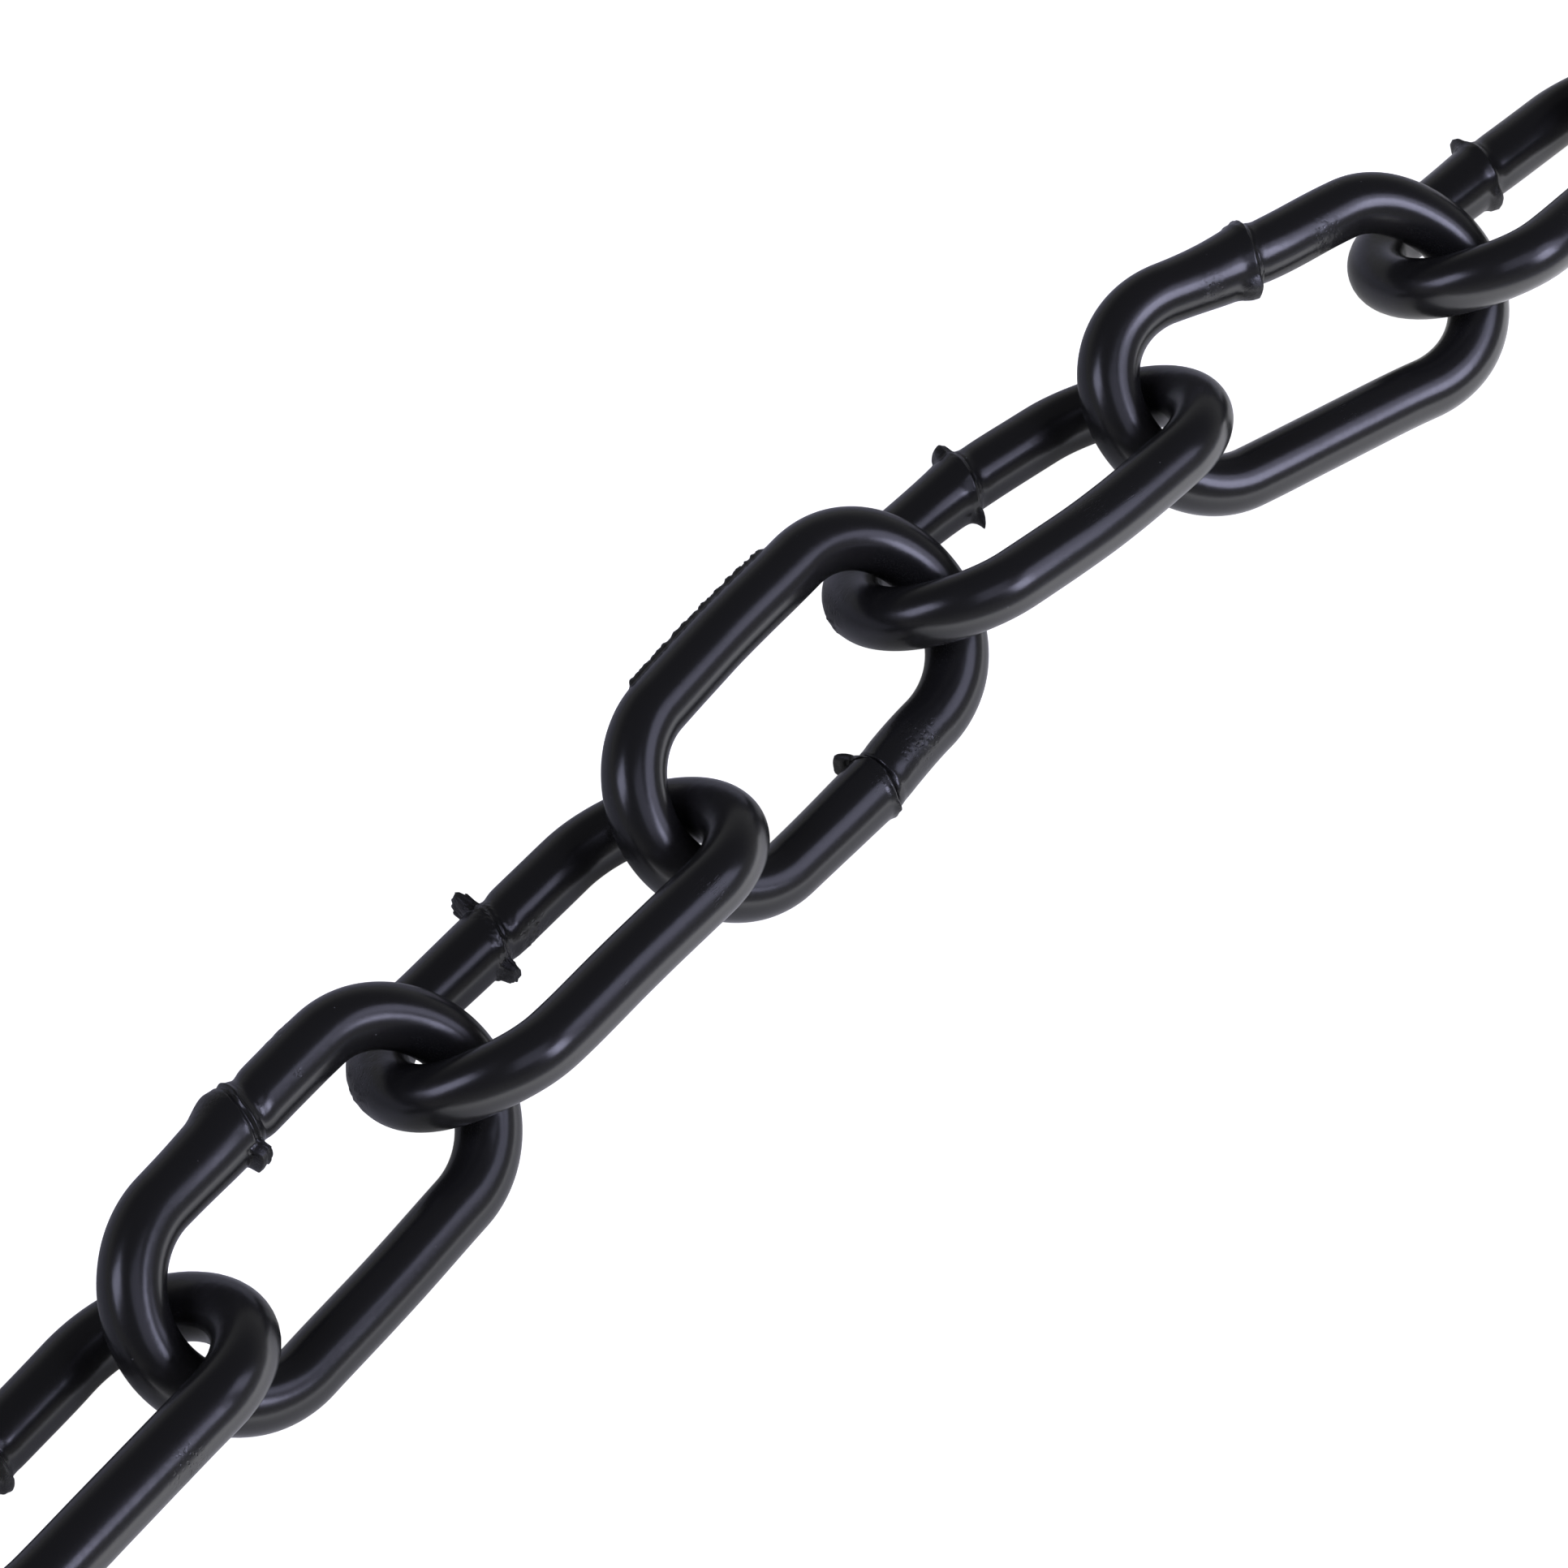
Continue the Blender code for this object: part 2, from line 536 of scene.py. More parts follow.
# %% [markdown]
# ## Shape of the whole link
# The swept wire is then moved out along its spokes. The rise is a sum: the weld, the slow
# unevenness of drawn and bent wire, the torn burr of coat that one leg carries, and crumbs of
# scale under the coat. Each point keeps its place in the link for the finish, because a pattern
# must stay with a link when the chain moves.

# %% The burr, and what lies at the worn spots
# The burr's ends fade over twice this length, in millimetres
BURR_FADE = 0.2
# How far round the wire the burr falls off, in radians
BURR_WIDTH = 0.07
# The tears along the burr: their size in millimetres, how deep they cut, and what height is left
BURR_TEAR_SIZE = 0.6
BURR_TEAR = 0.7
BURR_MEAN = 0.75
BURR_SHIFT = 11.0
CRUST_SIZE = 0.7
CRUST_SHIFT = 13.0


def burr_rise(tree, given, centre, angle, base):
    """A torn thread of coat along the leg that has no weld."""
    x, y, _ = separated(centre)
    reach = given["Burr Half Length"]
    window = abs(x - given["Burr Place"]).ramp(reach + BURR_FADE, reach - BURR_FADE)
    window = window * y.ramp(0.0, -1.0)
    line = wrapped(angle - given["Burr Angle"]).bell(BURR_WIDTH)
    torn = noise(tree, base, BURR_TEAR_SIZE, detail=3.0, shift=given["Seed"] + BURR_SHIFT)
    return given["Burr Height"] * window * line * (torn * BURR_TEAR + BURR_MEAN).most(0.0)


def spots_near(tree, given, position, names):
    """1 at the worn spots, falling off over their sizes."""
    worn = 0.0
    for name in names:
        node = tree.nodes.new("ShaderNodeVectorMath")
        node.operation = "DISTANCE"
        feed(tree, node.inputs[0], position)
        feed(tree, node.inputs[1], given[name])
        worn = Term(tree, node.outputs["Value"]).bell(given[f"{name} Size"]) + worn
    return worn


def crust_rise(tree, given, base):
    """Crumbs of scale under the coat, at the pitted spots."""
    crumbs = noise(tree, base, CRUST_SIZE, detail=2.0, shift=given["Seed"] + CRUST_SHIFT).most(0.0)
    return crumbs * spots_near(tree, given, base, PITS).least(1.0) * given["Crust"]


# %% The wire moved out to its surface
UNEVEN_SIZE = 7.0


def current_position(tree):
    return Term(tree, tree.nodes.new("GeometryNodeInputPosition").outputs[0])


def shaped_wire(tree, given, kept, wire):
    """The finished surface, how far each point faces outward, and how torn it is there."""
    base = current_position(tree)
    spoke = vector_math(tree, "NORMALIZE", vector_math(tree, "SUBTRACT", base, kept["centre"]))
    outward_part = vector_math(tree, "DOT_PRODUCT", spoke, kept["outward"])
    upward_part = vector_math(tree, "DOT_PRODUCT", spoke, (0.0, 0.0, 1.0))
    angle = upward_part.math("ARCTAN2", outward_part)
    weld, flake_a, flake_b = weld_rise(tree, given, kept["along"], angle, spoke, base)
    uneven = noise(tree, base, UNEVEN_SIZE, detail=1.0, shift=given["Seed"]) * given["Waviness"]
    burr = burr_rise(tree, given, kept["centre"], angle, base)
    rise = weld + uneven + burr + crust_rise(tree, given, base)
    curl = flake_a * flake_a * given["Flake A Curl"] + flake_b * flake_b * given["Flake B Curl"]
    reach = scaled(spoke, given["Wire"] / 2.0 + rise)
    place = vector_math(tree, "ADD", kept["centre"], reach)
    place = vector_math(tree, "ADD", place, combined(tree, curl, 0.0, 0.0))
    shaped = tree.nodes.new("GeometryNodeSetPosition")
    tree.links.new(wire, shaped.inputs["Geometry"])
    feed(tree, shaped.inputs["Position"], place)
    return shaped.outputs[0], outward_part, flake_a + flake_b + burr


# %% Marks that the finish reads
# Where along the crown, in millimetres from the leg's end, the neighbour's rub begins and is full
RUB_FROM = 2.0
RUB_TO = 8.0
# The same round the wire, as the outward part of the spoke: -1 faces the opening
RUB_EDGE = -0.45
RUB_FULL = -0.95
# How much torn coat is taken for fully torn, and how far along the wire the weld's finish reaches
TORN_GAIN = 2.5
WELD_REACH = 1.4


def finish_marks(tree, given, kept, outward_part, torn):
    """Each mark's name, kind and value."""
    position = current_position(tree)
    at_crown = abs(separated(kept["centre"])[0]) - given["Half Leg"]
    rub = at_crown.ramp(RUB_FROM, RUB_TO) * outward_part.ramp(RUB_EDGE, RUB_FULL)
    return (
        ("link_place", "FLOAT_VECTOR", position),
        ("rub", "FLOAT", rub),
        ("torn", "FLOAT", (torn * TORN_GAIN).least(1.0)),
        ("weld", "FLOAT", kept["along"].bell(WELD_REACH)),
        ("scuffs", "FLOAT", spots_near(tree, given, position, SCUFFS)),
        ("pits", "FLOAT", spots_near(tree, given, position, PITS)),
    )


def stored(tree, geometry, marks):
    """The geometry with every mark kept as an attribute of its points."""
    for name, kind, value in marks:
        store = tree.nodes.new("GeometryNodeStoreNamedAttribute")
        store.data_type = kind
        store.inputs["Name"].default_value = name
        tree.links.new(geometry, store.inputs["Geometry"])
        feed(tree, store.inputs["Value"], value)
        geometry = store.outputs[0]
    return geometry


# %% The link's tree
def build_link_tree():
    tree = new_link_tree()
    given = given_terms(tree)
    path, kept = centreline(tree, given)
    wire = swept_wire(tree, given, path)
    surface, outward_part, torn = shaped_wire(tree, given, kept, wire)
    geometry = stored(tree, surface, finish_marks(tree, given, kept, outward_part, torn))
    real = tree.nodes.new("GeometryNodeRealizeInstances")
    finish = tree.nodes.new("GeometryNodeSetMaterial")
    tree.links.new(geometry, real.inputs[0])
    tree.links.new(real.outputs[0], finish.inputs["Geometry"])
    feed(tree, finish.inputs["Material"], given["Coat"])
    out = tree.nodes.new("NodeGroupOutput")
    tree.links.new(finish.outputs[0], out.inputs[0])
    return tree


LINK_TREE = build_link_tree()
print("nodes in the link's tree:", len(LINK_TREE.nodes))

# %% [markdown]
# ## The black coat
# The steel wears a thin satin black coat. It has the fine orange peel of sprayed paint, a slightly
# mottled gloss, a few specks of dust and nicks, and rubbed places where crowns touch. The grain
# and the wear are node groups with named inputs, so that another finish could use them with its
# own values.

# %% Grain of a sprayed coat
# Sizes across, in millimetres
PEEL_SIZE = 0.16
DIMPLE_SIZE = 0.9
MOTTLE_SIZE = 0.37


def shader_group(name, inputs, outputs):
    """An empty node group with the inputs and outputs named."""
    tree = bpy.data.node_groups.new(name, "ShaderNodeTree")
    for label, kind, value in inputs:
        socket = tree.interface.new_socket(name=label, in_out="INPUT", socket_type=kind)
        if value is not None:
            socket.default_value = value
    for label in outputs:
        tree.interface.new_socket(name=label, in_out="OUTPUT", socket_type="NodeSocketFloat")
    return tree, given_terms(tree), tree.nodes.new("NodeGroupOutput")


def grain_group():
    """Fine peel and slow dimples as a height in millimetres, and how the gloss is mottled."""
    inputs = (
        ("Place", "NodeSocketVector", None),
        ("Peel", "NodeSocketFloat", 0.0006),
        ("Dimples", "NodeSocketFloat", 0.003),
    )
    tree, given, out = shader_group("sprayed_grain", inputs, ("Height", "Mottle"))
    place = given["Place"]
    peel = noise(tree, place, PEEL_SIZE, detail=1.0) * given["Peel"]
    dimples = noise(tree, place, DIMPLE_SIZE, detail=1.0) * given["Dimples"]
    feed(tree, out.inputs["Height"], peel + dimples)
    feed(tree, out.inputs["Mottle"], noise(tree, place, MOTTLE_SIZE, detail=1.0))
    return tree


# %% Wear of the coat, and painted glints on torn flash
MARKS = ("Scuffs", "Pits", "Torn", "Weld", "Rub")
# Sizes across, in millimetres. Strokes are drawn out along the wire
STROKE_SIZE = 0.21
STROKE_SHAPE = (0.35, 1.0, 1.6)
POCK_SIZE = 0.33
CRUMB_SIZE = 0.14
DUST_SIZE = 0.27
# The part of each noise that shows, from where it begins to where it is full
STROKE_RANGE = (0.1, 0.5)
POCK_RANGE = (0.2, 0.5)
DUST_RANGE = (0.8, 0.88)
# Painted glints on torn flash show where the crumbs' noise passes this range
GLINT_RANGE = (0.45, 0.6)
# Heights, in millimetres
DUST_HEIGHT = 0.02
SCRATCH_DEPTH = 0.008
POCK_DEPTH = 0.05
TORN_HEIGHT = 0.03
WELD_HEIGHT = 0.006
# What each kind of wear adds to the roughness
SCRATCH_DULL = 0.15
TORN_DULL = 0.08
PIT_DULL = 0.1
# How much of the pale dust colour each kind of wear shows, and how pale the painted glints on torn
# flash are
DUST_PALE = 0.35
SCRATCH_PALE = 0.02
RUB_PALE = 0.02
GLINT_PALE = 0.1


def wear_height(given, scratched, pocks, dust, crumbs):
    """Dust stands up, scratches and pocks go in, and crumbs make torn coat and welds coarse."""
    dents = dust * DUST_HEIGHT - scratched * SCRATCH_DEPTH - pocks * given["Pits"] * POCK_DEPTH
    return dents + crumbs * (given["Torn"] * TORN_HEIGHT + given["Weld"] * WELD_HEIGHT)


def wear_and_glint_group():
    """Scuffs, pits, torn flash, rubbed crowns and dust, as a height in millimetres and two masks. The
    pale mask also holds painted glints on torn flash.
    """
    inputs = (("Place", "NodeSocketVector", None), *((mark, "NodeSocketFloat", 0.0) for mark in MARKS))
    tree, given, out = shader_group("coat_wear_and_glints", inputs, ("Height", "Dull", "Pale"))
    place = given["Place"]
    drawn_out = vector_math(tree, "MULTIPLY", place, STROKE_SHAPE)
    strokes = noise(tree, drawn_out, STROKE_SIZE, detail=1.0).ramp(*STROKE_RANGE)
    pocks = noise(tree, place, POCK_SIZE, detail=0.0).ramp(*POCK_RANGE)
    crumbs = noise(tree, place, CRUMB_SIZE, detail=2.0)
    dust = noise(tree, place, DUST_SIZE, detail=0.0).ramp(*DUST_RANGE)
    scratched = given["Scuffs"] * strokes
    dull = scratched * SCRATCH_DULL + given["Torn"] * TORN_DULL + given["Pits"] * PIT_DULL
    # Painted glints: pale specks on torn flash, put into the colour in place of real glints
    painted_glints = crumbs.ramp(*GLINT_RANGE) * given["Torn"]
    worn_pale = scratched * SCRATCH_PALE + given["Rub"] * strokes * RUB_PALE
    pale = dust * DUST_PALE + worn_pale + painted_glints * GLINT_PALE
    feed(tree, out.inputs["Height"], wear_height(given, scratched, pocks, dust, crumbs))
    feed(tree, out.inputs["Dull"], dull)
    feed(tree, out.inputs["Pale"], pale.least(1.0))
    return tree


# %% The coat itself
BLACK = (0.013, 0.013, 0.0132, 1.0)
# Pale colour of dust, scratches and rubbed crowns, also used for the painted glints on torn flash
DUST_AND_GLINT_COLOUR = (0.45, 0.45, 0.46, 1.0)
ROUGHNESS = 0.23
MOTTLED_ROUGHNESS = 0.03


def placed_group(tree, group, place):
    """A node group in the material, with its pattern on the link's own places."""
    node = tree.nodes.new("ShaderNodeGroup")
    node.node_tree = group
    tree.links.new(place.outputs["Vector"], node.inputs["Place"])
    return node


def coat_material():
    material = bpy.data.materials.new("satin_black_coat")
    material.use_nodes = True
    tree = material.node_tree
    shader = tree.nodes["Principled BSDF"]
    place = tree.nodes.new("ShaderNodeAttribute")
    place.attribute_name = "link_place"
    grain = placed_group(tree, grain_group(), place)
    wear_and_glints = placed_group(tree, wear_and_glint_group(), place)
    for label in MARKS:
        mark = tree.nodes.new("ShaderNodeAttribute")
        mark.attribute_name = label.lower()
        tree.links.new(mark.outputs["Fac"], wear_and_glints.inputs[label])
    mottled = Term(tree, grain.outputs["Mottle"]) * MOTTLED_ROUGHNESS + ROUGHNESS
    feed(tree, shader.inputs["Roughness"], mottled + Term(tree, wear_and_glints.outputs["Dull"]))
    colour = tree.nodes.new("ShaderNodeMix")
    colour.data_type = "RGBA"
    colour.inputs["A"].default_value = BLACK
    colour.inputs["B"].default_value = DUST_AND_GLINT_COLOUR
    # The pale mask brings in dust and wear, and the painted glints on torn flash
    feed(tree, colour.inputs["Factor"], Term(tree, wear_and_glints.outputs["Pale"]))
    tree.links.new(colour.outputs["Result"], shader.inputs["Base Color"])
    bump = tree.nodes.new("ShaderNodeBump")
    bump.inputs["Distance"].default_value = MM
    height = Term(tree, grain.outputs["Height"]) + Term(tree, wear_and_glints.outputs["Height"])
    feed(tree, bump.inputs["Height"], height)
    tree.links.new(bump.outputs[0], shader.inputs["Normal"])
    return material


COAT = coat_material()
print("nodes in the coat:", len(COAT.node_tree.nodes))

# %% [markdown]
# ## A weld for every link
# No two welds look alike. The five links nearest the camera get values read off the photograph.
# The rest draw theirs from the same ranges with a fixed seed.

# %% How the near links stray from a true oval
SHAPES = {
    12: {"High Shoulder": 0.4, "High Crown": 0.1, "High Far Shoulder": 0.2},
    13: {
        "High Shoulder": -0.6,
        "High Crown": -0.1,
        "Plain Leg": 0.2,
        "Low Far Shoulder": 0.2,
        "Low Crown": 0.3,
    },
    14: {"Plain Leg": -0.2, "Low Far Shoulder": -0.5, "Low Crown": 0.3, "Low Shoulder": 0.2},
    15: {
        "Welded Leg": 0.3,
        "High Shoulder": 0.5,
        "High Crown": 0.3,
        "High Far Shoulder": 0.2,
        "Plain Leg": 0.3,
        "Low Far Shoulder": -0.2,
        "Low Crown": -0.2,
        "Low Shoulder": -0.4,
    },
    16: {
        "Welded Leg": 0.7,
        "High Shoulder": -0.4,
        "High Crown": -0.2,
        "High Far Shoulder": -0.3,
        "Plain Leg": 0.5,
        "Low Far Shoulder": -0.3,
        "Low Crown": -0.2,
    },
    17: {
        "Welded Leg": -0.7,
        "High Shoulder": -0.8,
        "High Crown": 0.3,
        "High Far Shoulder": 0.7,
        "Low Far Shoulder": -0.2,
        "Low Crown": 0.3,
        "Low Shoulder": 0.7,
    },
    18: {"Plain Leg": -0.5, "Low Far Shoulder": -0.4, "Low Shoulder": 0.5},
}

# %% The near links' welds
WELDS = {
    13: {
        "Weld Place": -0.1,
        "Slant": 1.0,
        "Kink": 0.1,
        "Upset Rise": 0.3,
        "Upset Length": 6.0,
        "Neck Depth": 0.2,
        "Collar Rise": 0.25,
        "Collar Width": 0.7,
        "Groove Depth": 0.3,
        "Groove Place": -0.5,
        "Groove Width": 0.25,
        "Flake A Place": -2.0,
        "Flake A Lead": 1.8,
        "Flake A Height": 0.5,
        "Flake A Spread": 1.7,
        "Flake A Length": 3.2,
        "Flake A Flatness": 0.0,
        "Flake B Place": -0.6,
        "Flake B Lead": 0.5,
        "Flake B Height": 1.1,
        "Flake B Spread": 0.45,
        "Flake B Length": 1.2,
        "Flake B Flatness": 0.7,
        "Raggedness": 0.15,
    },
    14: {
        "Weld Place": -0.1,
        "Slant": 1.15,
        "Upset Rise": 0.12,
        "Neck Depth": 0.2,
        "Collar Rise": 0.2,
        "Blisters": 0.2,
        "Flake A Lead": 0.5,
        "Flake A Height": 1.7,
        "Flake A Spread": 0.45,
        "Flake A Length": 1.0,
        "Flake A Flatness": 0.6,
        "Flake B Height": 1.3,
        "Flake B Spread": 0.45,
        "Flake B Length": 1.3,
        "Flake B Flatness": 0.4,
        "Raggedness": 1.2,
    },
    15: {
        "Weld Place": 2.05,
        "Slant": -0.75,
        "Crowding": 0.4,
        "Kink": 0.3,
        "Upset Rise": 0.2,
        "Collar Rise": 0.28,
        "Collar Width": 0.5,
        "Groove Depth": 0.6,
        "Groove Place": 0.3,
        "Groove Width": 0.22,
        "Flake A Height": 0.35,
        "Flake A Spread": 0.3,
        "Flake A Length": 0.6,
        "Flake B Height": 1.4,
        "Flake B Spread": 0.6,
        "Flake B Length": 1.15,
        "Flake B Flatness": 0.35,
        "Flake B Curl": -0.25,
        "Raggedness": 0.1,
        "Burr Height": 0.55,
    },
    16: {
        "Weld Place": 0.3,
        "Slant": 0.9,
        "Upset Rise": 0.3,
        "Upset Length": 3.5,
        "Collar Rise": 0.3,
        "Collar Width": 0.9,
        "Groove Depth": 0.05,
        "Flake A Lead": 0.6,
        "Flake A Height": 0.95,
        "Flake A Spread": 0.5,
        "Flake A Length": 1.3,
        "Flake A Flatness": 0.5,
        "Flake B Height": 1.45,
        "Flake B Spread": 0.4,
        "Flake B Length": 1.2,
        "Flake B Flatness": 0.0,
        "Flake B Curl": -0.35,
        "Raggedness": 0.15,
    },
    17: {
        "Weld Place": -1.5,
        "Slant": 0.9,
        "Kink": 0.3,
        "Upset Rise": 0.45,
        "Upset Length": 5.0,
        "Collar Rise": 0.25,
        "Collar Width": 0.9,
        "Flake A Height": 0.2,
        "Flake A Spread": 0.4,
        "Flake B Height": 0.6,
        "Flake B Spread": 0.6,
        "Flake B Length": 2.4,
        "Flake B Flatness": 0.3,
        "Raggedness": 0.15,
    },
}
print("links whose welds follow the photograph:", sorted(WELDS))

# %% The near links' worn spots
WEAR_SPOTS = {
    13: {
        "Scuff A": (5.2, -12.5, 1.5),
        "Scuff A Size": 1.2,
        "Pits A": (5.4, 9.7, 3.0),
        "Pits A Size": 0.4,
    },
    14: {
        "Scuff A": (9.4, -12.4, 1.4),
        "Scuff B": (-3.4, -12.4, 1.0),
        "Pits A": (-22.6, 5.2, 1.0),
        "Pits A Size": 2.5,
        "Pits B": (2.6, 7.1, -1.3),
        "Crust": 0.6,
    },
    15: {
        "Scuff A": (1.0, 9.5, -3.5),
        "Scuff A Size": 1.4,
        "Scuff B": (6.9, 9.5, -3.1),
        "Scuff B Size": 1.6,
        "Pits A": (6.9, 9.5, -3.1),
        "Pits A Size": 1.8,
    },
    16: {
        "Scuff A": (-1.2, -11.3, 2.4),
        "Scuff A Size": 1.6,
        "Scuff B": (2.6, -12.6, 1.5),
        "Pits A": (-22.6, 5.2, 1.0),
        "Pits A Size": 2.2,
        "Crust": 0.6,
    },
}

# %% Values drawn at random
# Each link's draws start from one of these seeds and its number
WELD_SEED = 1000
SHAPE_SEED = 2000
SPOT_SEED = 3000
# The most that the other links stray from a true oval
CROWN_STRAY = 0.15
LEG_STRAY = 0.4


def drawn_spots(number):
    """Two scuffs and two pitted patches somewhere on the legs."""
    draw = random.Random(SPOT_SEED + number)
    spots = {}
    for name in SPOTS:
        side = draw.choice((-1, 1))
        turn = draw.uniform(0, math.tau)
        spots[name] = (
            draw.uniform(-HALF_LEG, HALF_LEG),
            side * (BEND_RADIUS + WIRE / 2 * math.cos(turn)),
            WIRE / 2 * math.sin(turn),
        )
        spots[f"{name} Size"] = draw.uniform(0.4, 1.6)
    return spots


def drawn_weld(number):
    """A weld of its own for a link, within what the photographed ones show."""
    draw = random.Random(WELD_SEED + number)
    return {
        "Weld Place": draw.uniform(-1.0, 1.5),
        "Slant": draw.uniform(0.2, 1.1),
        "Kink": draw.uniform(-0.05, 0.2),
        "Upset Rise": draw.uniform(0.12, 0.35),
        "Collar Rise": draw.uniform(0.18, 0.32),
        "Groove Depth": draw.uniform(0.0, 0.2),
        "Flake A Height": draw.uniform(0.1, 1.3),
        "Flake B Height": draw.uniform(0.3, 1.5),
        "Flake A Spread": draw.uniform(0.35, 0.7),
        "Flake B Spread": draw.uniform(0.35, 0.6),
        "Flake A Length": draw.uniform(0.6, 1.8),
        "Flake B Length": draw.uniform(0.6, 1.5),
        "Flake A Flatness": draw.uniform(0.1, 0.6),
        "Flake B Flatness": draw.uniform(0.1, 0.6),
        "Raggedness": draw.uniform(0.1, 0.7),
    }


def drawn_shape(number):
    """Small strays from the true oval, for the links that the photograph doesn't show."""
    draw = random.Random(SHAPE_SEED + number)
    shape = {}
    for name, *_ in STRAY_PLACES:
        most = CROWN_STRAY if "Crown" in name else LEG_STRAY
        shape[name] = draw.uniform(-most, most)
    return shape


# %% All values of a link
# Where round the wire the flakes stand, counted from the floor's side, and the burr, from the outside
FLAKE_A_TURN = math.radians(100)
FLAKE_B_TURN = math.radians(85)
BURR_TURN = math.radians(13)
SEED_STEP = 1.7


def link_values(number):
    """The plain sizes, then the link's own place, then what is drawn or read off for it."""
    hand = -1 if is_turned(number) else 1
    on_floor = weld_on_floor(number)
    floor_angle = hand * ((LEAN if on_floor else -LEAN) - math.pi / 2)
    values = dict(LINK_INPUTS)
    values["Lean"] = -LEAN if number % 2 else LEAN
    values["Floor Angle"] = floor_angle
    values["Floor Relief"] = 1.0 if on_floor else 0.0
    values["Flake A Angle"] = floor_angle + hand * FLAKE_A_TURN
    values["Flake B Angle"] = floor_angle - hand * FLAKE_B_TURN
    values["Burr Angle"] = BURR_TURN
    values["Seed"] = number * SEED_STEP
    values.update(drawn_weld(number))
    values.update(SHAPES[number] if number in SHAPES else drawn_shape(number))
    values.update(WELDS.get(number, {}))
    values.update(drawn_spots(number))
    values.update(WEAR_SPOTS.get(number, {}))
    return values


# %% [markdown]
# ## Making the links
# Each link starts as an empty mesh object with the tree as its modifier. The modifier's result is
# turned into a plain mesh, which is moved to where the link lies, and the first object goes. Only
# the links in front of the camera need a fine mesh.

# %% Draw every link
NEAR_LINKS = (13, 14, 15, 16, 17)
# Stations along the wire, and sides round it. The middle link's torn burr needs the most
PLAIN_FINENESS = (180, 36)
NEAR_FINENESS = (340, 96)
MIDDLE_FINENESS = (840, 110)


def fineness(number):
    if number == MIDDLE_LINK:
        return MIDDLE_FINENESS
    return NEAR_FINENESS if number in NEAR_LINKS else PLAIN_FINENESS


def drawn_link(number):
    """One finished link as a plain mesh object, with its place in its mesh."""
    name = f"coated_{link_name(number)}"
    maker = bpy.data.objects.new(name, bpy.data.meshes.new(name))
    bpy.context.scene.collection.objects.link(maker)
    modifier = maker.modifiers.new("link", "NODES")
    modifier.node_group = LINK_TREE
    values = {**link_values(number), "Coat": COAT}
    values["Stations"], values["Around"] = fineness(number)
    for item in LINK_TREE.interface.items_tree:
        if item.in_out == "INPUT":
            modifier[item.identifier] = values[item.name]
    evaluated = maker.evaluated_get(bpy.context.evaluated_depsgraph_get())
    mesh = bpy.data.meshes.new_from_object(evaluated)
    bpy.data.objects.remove(maker)
    mesh.name = name
    mesh.transform(place_matrix(number))
    mesh.shade_smooth()
    link = bpy.data.objects.new(name, mesh)
    bpy.context.scene.collection.objects.link(link)
    return link


LINKS = {number: drawn_link(number) for number in range(1, LINK_COUNT + 1)}
triangles = sum(2 * len(link.data.polygons) for link in LINKS.values())
lowest = min(vertex.co.z for link in LINKS.values() for vertex in link.data.vertices)
print("triangles:", triangles, "lowest point in mm:", round(lowest / MM, 3))

# %% [markdown]
# ## Floor, light and camera
# The chain lies on a white table under four soft boxes. Black gloss shows nothing but what it
# mirrors, so each box is placed by where its bright band lies on the wire. The low flanks mirror
# the table itself, so a strip of it beside the chain glows. To the camera all of it is white.

# %% Floor
FLOOR_SIZE = 8.0
WHITE = (1.0, 1.0, 1.0, 1.0)
CARD = (0.7, 0.7, 0.7, 1.0)
CARD_ROUGHNESS = 0.9
CARD_GLOSS = 0.1
# The glowing strip on the key light's side, in metres across the chain
STRIP_PLACE = -0.045
STRIP_WIDTH = 0.035
STRIP_GLOW = 2.0


def white_floor():
    """Lit white card. To the camera it is bleached further, as the photographer's exposure does."""
    mesh = bpy.data.meshes.new("floor")
    half = FLOOR_SIZE / 2
    corners = [(-half, -half, 0), (half, -half, 0), (half, half, 0), (-half, half, 0)]
    mesh.from_pydata(corners, [], [(0, 1, 2, 3)])
    material = bpy.data.materials.new("white_table")
    material.use_nodes = True
    tree = material.node_tree
    shader = tree.nodes["Principled BSDF"]
    shader.inputs["Base Color"].default_value = CARD
    shader.inputs["Roughness"].default_value = CARD_ROUGHNESS
    shader.inputs["Specular IOR Level"].default_value = CARD_GLOSS
    shader.inputs["Emission Color"].default_value = WHITE
    seen = Term(tree, tree.nodes.new("ShaderNodeLightPath").outputs["Is Camera Ray"])
    place = Term(tree, tree.nodes.new("ShaderNodeTexCoord").outputs["Object"])
    strip = (separated(place)[1] - STRIP_PLACE).bell(STRIP_WIDTH) * STRIP_GLOW
    feed(tree, shader.inputs["Emission Strength"], seen.most(strip))
    material.cycles.emission_sampling = "NONE"
    mesh.materials.append(material)
    floor = bpy.data.objects.new("floor", mesh)
    bpy.context.scene.collection.objects.link(floor)


white_floor()

# %% Soft boxes
LAMP_COLOUR = (0.72, 0.73, 1.0)
# Each box: its azimuth and elevation in degrees, its distance and its two sides in metres, its watts
SOFT_BOXES = {
    "key_box": (-80, 37, 1.6, (0.5, 0.66), 9.3),
    "near_box": (-52, 43, 0.35, (0.12, 0.19), 0.18),
    "fill_box": (145, 38, 1.8, (0.64, 0.81), 7.9),
    "top_box": (-115, 61, 1.6, (0.8, 0.9), 2.2),
}


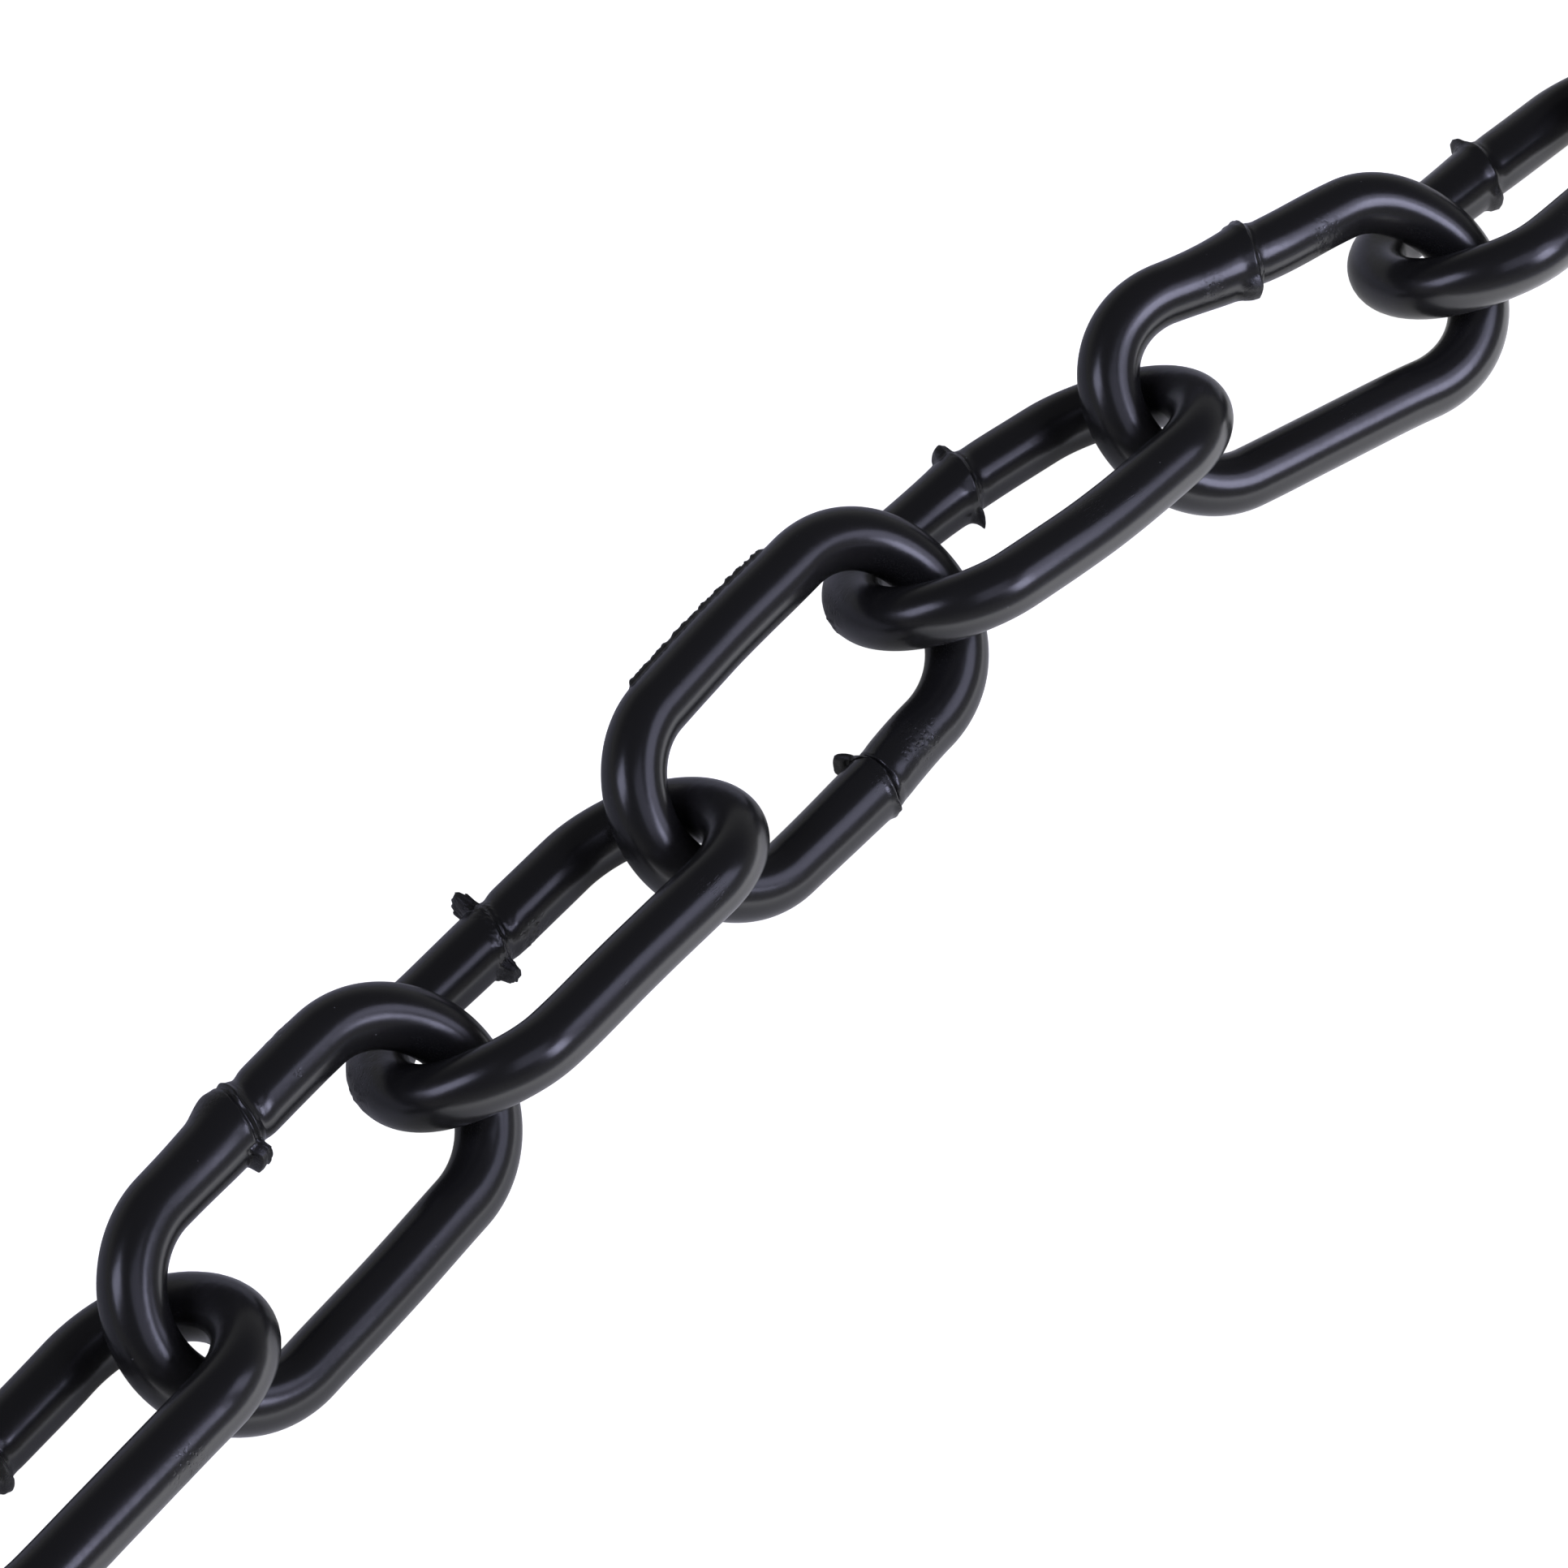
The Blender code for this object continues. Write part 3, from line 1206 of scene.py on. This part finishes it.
def soft_box(name, azimuth, elevation, distance, size, power):
    """An area light that looks at the middle of the chain from a direction round it."""
    light = bpy.data.lights.new(name, "AREA")
    light.shape = "RECTANGLE"
    light.size, light.size_y = size
    light.energy = power
    light.color = LAMP_COLOUR
    lamp = bpy.data.objects.new(name, light)
    flat = math.cos(math.radians(elevation))
    direction = Vector((
        flat * math.cos(math.radians(azimuth)),
        flat * math.sin(math.radians(azimuth)),
        math.sin(math.radians(elevation)),
    ))
    lamp.location = direction * distance
    lamp.rotation_euler = direction.to_track_quat("Z", "Y").to_euler()
    bpy.context.scene.collection.objects.link(lamp)


for box_name, box_values in SOFT_BOXES.items():
    soft_box(box_name, *box_values)
print("soft boxes:", ", ".join(SOFT_BOXES))

# %% The room
# What the coat mirrors of the room, straight above, and how much more it gets at the horizon
ROOM_GLOW = 0.07
HORIZON_GLOW = 0.25
# The height at which the paler horizon ends, as the upward part of a direction
HORIZON_TOP = 0.6


def dim_room():
    """White to the camera. What the coat mirrors of it is dim overhead and paler near the horizon."""
    world = bpy.data.worlds.new("room")
    world.use_nodes = True
    tree = world.node_tree
    background = tree.nodes["Background"]
    background.inputs["Color"].default_value = WHITE
    seen = Term(tree, tree.nodes.new("ShaderNodeLightPath").outputs["Is Camera Ray"])
    direction = Term(tree, tree.nodes.new("ShaderNodeTexCoord").outputs["Generated"])
    glow = separated(direction)[2].ramp(HORIZON_TOP, 0.0) * HORIZON_GLOW + ROOM_GLOW
    feed(tree, background.inputs["Strength"], glow.most(seen))
    bpy.context.scene.world = world


dim_room()

# %% Camera
# Fitted to the links' outlines in the photograph
LOOK_DOWN = math.radians(53.56)
LOOK_ACROSS = math.radians(59.30)
ROLL = math.radians(6.95)
DISTANCE = 0.57985
# Where it aims, in metres right and down in the picture from the middle link
AIM_RIGHT = -0.00091
AIM_DOWN = 0.00634
LENS = 145.0
SENSOR_WIDTH = 36
NEAREST_SEEN = 0.01


def set_camera():
    """Looks along the chain from its low end, from well above."""
    ahead = Vector((0, math.cos(LOOK_DOWN), -math.sin(LOOK_DOWN)))
    right = Vector((1, 0, 0))
    down = ahead.cross(right)
    turn = Matrix.Rotation(-LOOK_ACROSS, 3, "Z")
    ahead, right, down = turn @ ahead, turn @ right, turn @ down
    right, down = (
        right * math.cos(ROLL) - down * math.sin(ROLL),
        right * math.sin(ROLL) + down * math.cos(ROLL),
    )
    data = bpy.data.cameras.new("camera")
    data.lens = LENS
    data.sensor_width = SENSOR_WIDTH
    data.clip_start = NEAREST_SEEN
    camera = bpy.data.objects.new("camera", data)
    aim = CENTRES[MIDDLE_LINK] + AIM_RIGHT * right + AIM_DOWN * down
    axes = Matrix((right, -down, -ahead)).transposed()
    camera.matrix_world = Matrix.Translation(aim - DISTANCE * ahead) @ axes.to_4x4()
    bpy.context.scene.collection.objects.link(camera)
    bpy.context.scene.camera = camera


set_camera()
bpy.context.scene.view_settings.view_transform = "Standard"
print("camera's distance from what it aims at, in metres:", DISTANCE)

# %% [markdown]
# ## Handing the links to the frame
# Every drawn link rides on the body of the imported link that it stands for, so that it swings with
# its hinge.

# %% Ride and replace
for number, link in LINKS.items():
    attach(link, link_name(number))
    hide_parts(link_name(number))
